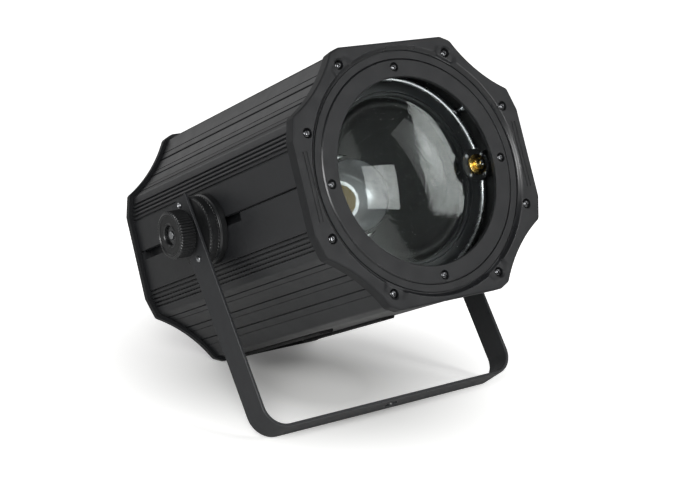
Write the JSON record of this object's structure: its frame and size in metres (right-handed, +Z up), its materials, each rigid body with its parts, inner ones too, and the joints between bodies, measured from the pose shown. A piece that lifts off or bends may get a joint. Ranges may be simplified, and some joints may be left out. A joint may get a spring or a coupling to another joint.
{
  "type": "led par can",
  "caption": "Black moving-lens stage spotlight with an octagonal body, a screwed lens ring, a driven zoom lens, and a flat-bar yoke clamped by knurled knobs in side slots.",
  "frame": {"origin": "middle of the underside, on the surface that the rear bezel's lower edge and the yoke's bar stand on", "axes": "+Z up, -Y towards the front glass's side (the beam rises about 25 degrees from -Y), +X to the right seen from the front"},
  "size_m": [0.327, 0.3834, 0.3443],
  "materials": {
    "shell_coat": "black powder coat, satin",
    "bezel_moulding": "fine-textured black",
    "knob_moulding": "black",
    "yoke_coat": "black powder coat, satin",
    "black_rubber": "matte",
    "zinc_steel": "zinc plated",
    "brass": "bright",
    "bare_aluminium": "satin",
    "clear_glass": "polished",
    "lens_glass": "polished",
    "display_glass": "gloss",
    "green_board": "satin",
    "phosphor": "matte",
    "blue_moulding": "satin",
    "grey_moulding": "satin"
  },
  "bodies": {
    "housing": {"housing_upper": "shell_coat", "housing_lower": "shell_coat", "front_bezel": "bezel_moulding", "lens_ring": "bezel_moulding", "lens_ring_screw_1": "zinc_steel", "lens_ring_screw_2": "zinc_steel", "lens_ring_screw_3": "zinc_steel", "lens_ring_screw_4": "zinc_steel", "front_glass": "clear_glass", "glass_gasket": "black_rubber", "rear_bezel": "bezel_moulding", "rear_panel": "yoke_coat", "rest_strip_left": "black_rubber", "rest_strip_right": "black_rubber", "barrel": "bezel_moulding", "bulkhead": "yoke_coat", "guide_rod_1": "zinc_steel", "guide_rod_2": "zinc_steel", "zoom_motor": "zinc_steel", "led_module": "bare_aluminium", "led_emitter": "phosphor", "reflector": "bare_aluminium", "heat_sink": "bare_aluminium", "fan_frame": "bezel_moulding", "fan_guard": "zinc_steel", "power_supply": "bare_aluminium", "control_board": "green_board", "display": "display_glass", "power_inlet": "blue_moulding", "power_outlet": "grey_moulding", "dmx_inlet": "bezel_moulding", "dmx_outlet": "bezel_moulding", "fuse_base": "bezel_moulding", "safety_eye": "zinc_steel"},
    "slider": {"slide_disc_left": "knob_moulding", "slide_disc_right": "knob_moulding", "pivot_bolt_left": "zinc_steel", "pivot_bolt_right": "zinc_steel"},
    "yoke_frame": {"yoke": "yoke_coat", "yoke_disc_left": "knob_moulding", "yoke_disc_right": "knob_moulding", "pivot_washer_left": "zinc_steel", "pivot_washer_right": "zinc_steel"},
    "knob_left": {"clamp_knob_left": "knob_moulding", "knob_insert_left": "zinc_steel"},
    "knob_right": {"clamp_knob_right": "knob_moulding", "knob_insert_right": "zinc_steel"},
    "carriage": {"lens_carriage": "bezel_moulding", "zoom_lens": "lens_glass", "lens_retainer": "bezel_moulding", "drive_nut": "brass"},
    "zoom_screw": {"lead_screw": "zinc_steel"},
    "fan": {"fan_rotor": "bezel_moulding"},
    "button_1": {"menu_button_1": "black_rubber"},
    "button_2": {"menu_button_2": "black_rubber"},
    "button_3": {"menu_button_3": "black_rubber"},
    "button_4": {"menu_button_4": "black_rubber"},
    "latch": {"dmx_latch": "zinc_steel"},
    "fuse": {"fuse_cap": "bezel_moulding"}
  },
  "joints": [
    {"name": "pivot_slide", "type": "slide", "parent": "housing", "child": "slider", "axis": [0, -0.9036, 0.4283], "range_m": [-0.095, 0.048]},
    {"name": "yoke_tilt", "type": "hinge", "parent": "slider", "child": "yoke_frame", "pos_m": [0, 0.01315, 0.16594], "axis": [1, 0, 0], "range_deg": [-34, 235]},
    {"name": "knob_left_turn", "type": "hinge", "parent": "yoke_frame", "child": "knob_left", "pos_m": [0, 0.01315, 0.16594], "axis": [-1, 0, 0], "range_deg": [-30, 330]},
    {"name": "knob_right_turn", "type": "hinge", "parent": "yoke_frame", "child": "knob_right", "pos_m": [0, 0.01315, 0.16594], "axis": [1, 0, 0], "range_deg": [-30, 330]},
    {"name": "zoom_slide", "type": "slide", "parent": "housing", "child": "carriage", "axis": [0, -0.9036, 0.4283], "range_m": [-0.05, 0.006]},
    {"name": "zoom_screw_spin", "type": "hinge", "parent": "housing", "child": "zoom_screw", "pos_m": [0.0836, -0.09484, 0.21712], "axis": [0, -0.9036, 0.4283], "range_deg": [-752, 92]},
    {"name": "fan_spin", "type": "hinge", "parent": "housing", "child": "fan", "pos_m": [0, 0.14278, 0.14876], "axis": [0, -0.9036, 0.4283], "continuous": true},
    {"name": "button_1_press", "type": "slide", "parent": "housing", "child": "button_1", "axis": [0, -0.9036, 0.4283], "range_m": [0, 0.001], "stiffness_N_per_m": 400, "springref_m": -0.002},
    {"name": "button_2_press", "type": "slide", "parent": "housing", "child": "button_2", "axis": [0, -0.9036, 0.4283], "range_m": [0, 0.001], "stiffness_N_per_m": 400, "springref_m": -0.002},
    {"name": "button_3_press", "type": "slide", "parent": "housing", "child": "button_3", "axis": [0, -0.9036, 0.4283], "range_m": [0, 0.001], "stiffness_N_per_m": 400, "springref_m": -0.002},
    {"name": "button_4_press", "type": "slide", "parent": "housing", "child": "button_4", "axis": [0, -0.9036, 0.4283], "range_m": [0, 0.001], "stiffness_N_per_m": 400, "springref_m": -0.002},
    {"name": "latch_press", "type": "slide", "parent": "housing", "child": "latch", "axis": [0, -0.9036, 0.4283], "range_m": [0, 0.001], "stiffness_N_per_m": 400, "springref_m": -0.002},
    {"name": "fuse_cap_turn", "type": "hinge", "parent": "housing", "child": "fuse", "pos_m": [0.084, 0.12009, 0.06656], "axis": [0, -0.9036, 0.4283], "range_deg": [0, 45]}
  ],
  "couplings": [
    {"joint": "zoom_screw_spin", "follows": "zoom_slide", "rad_per_m": 261.8}
  ]
}
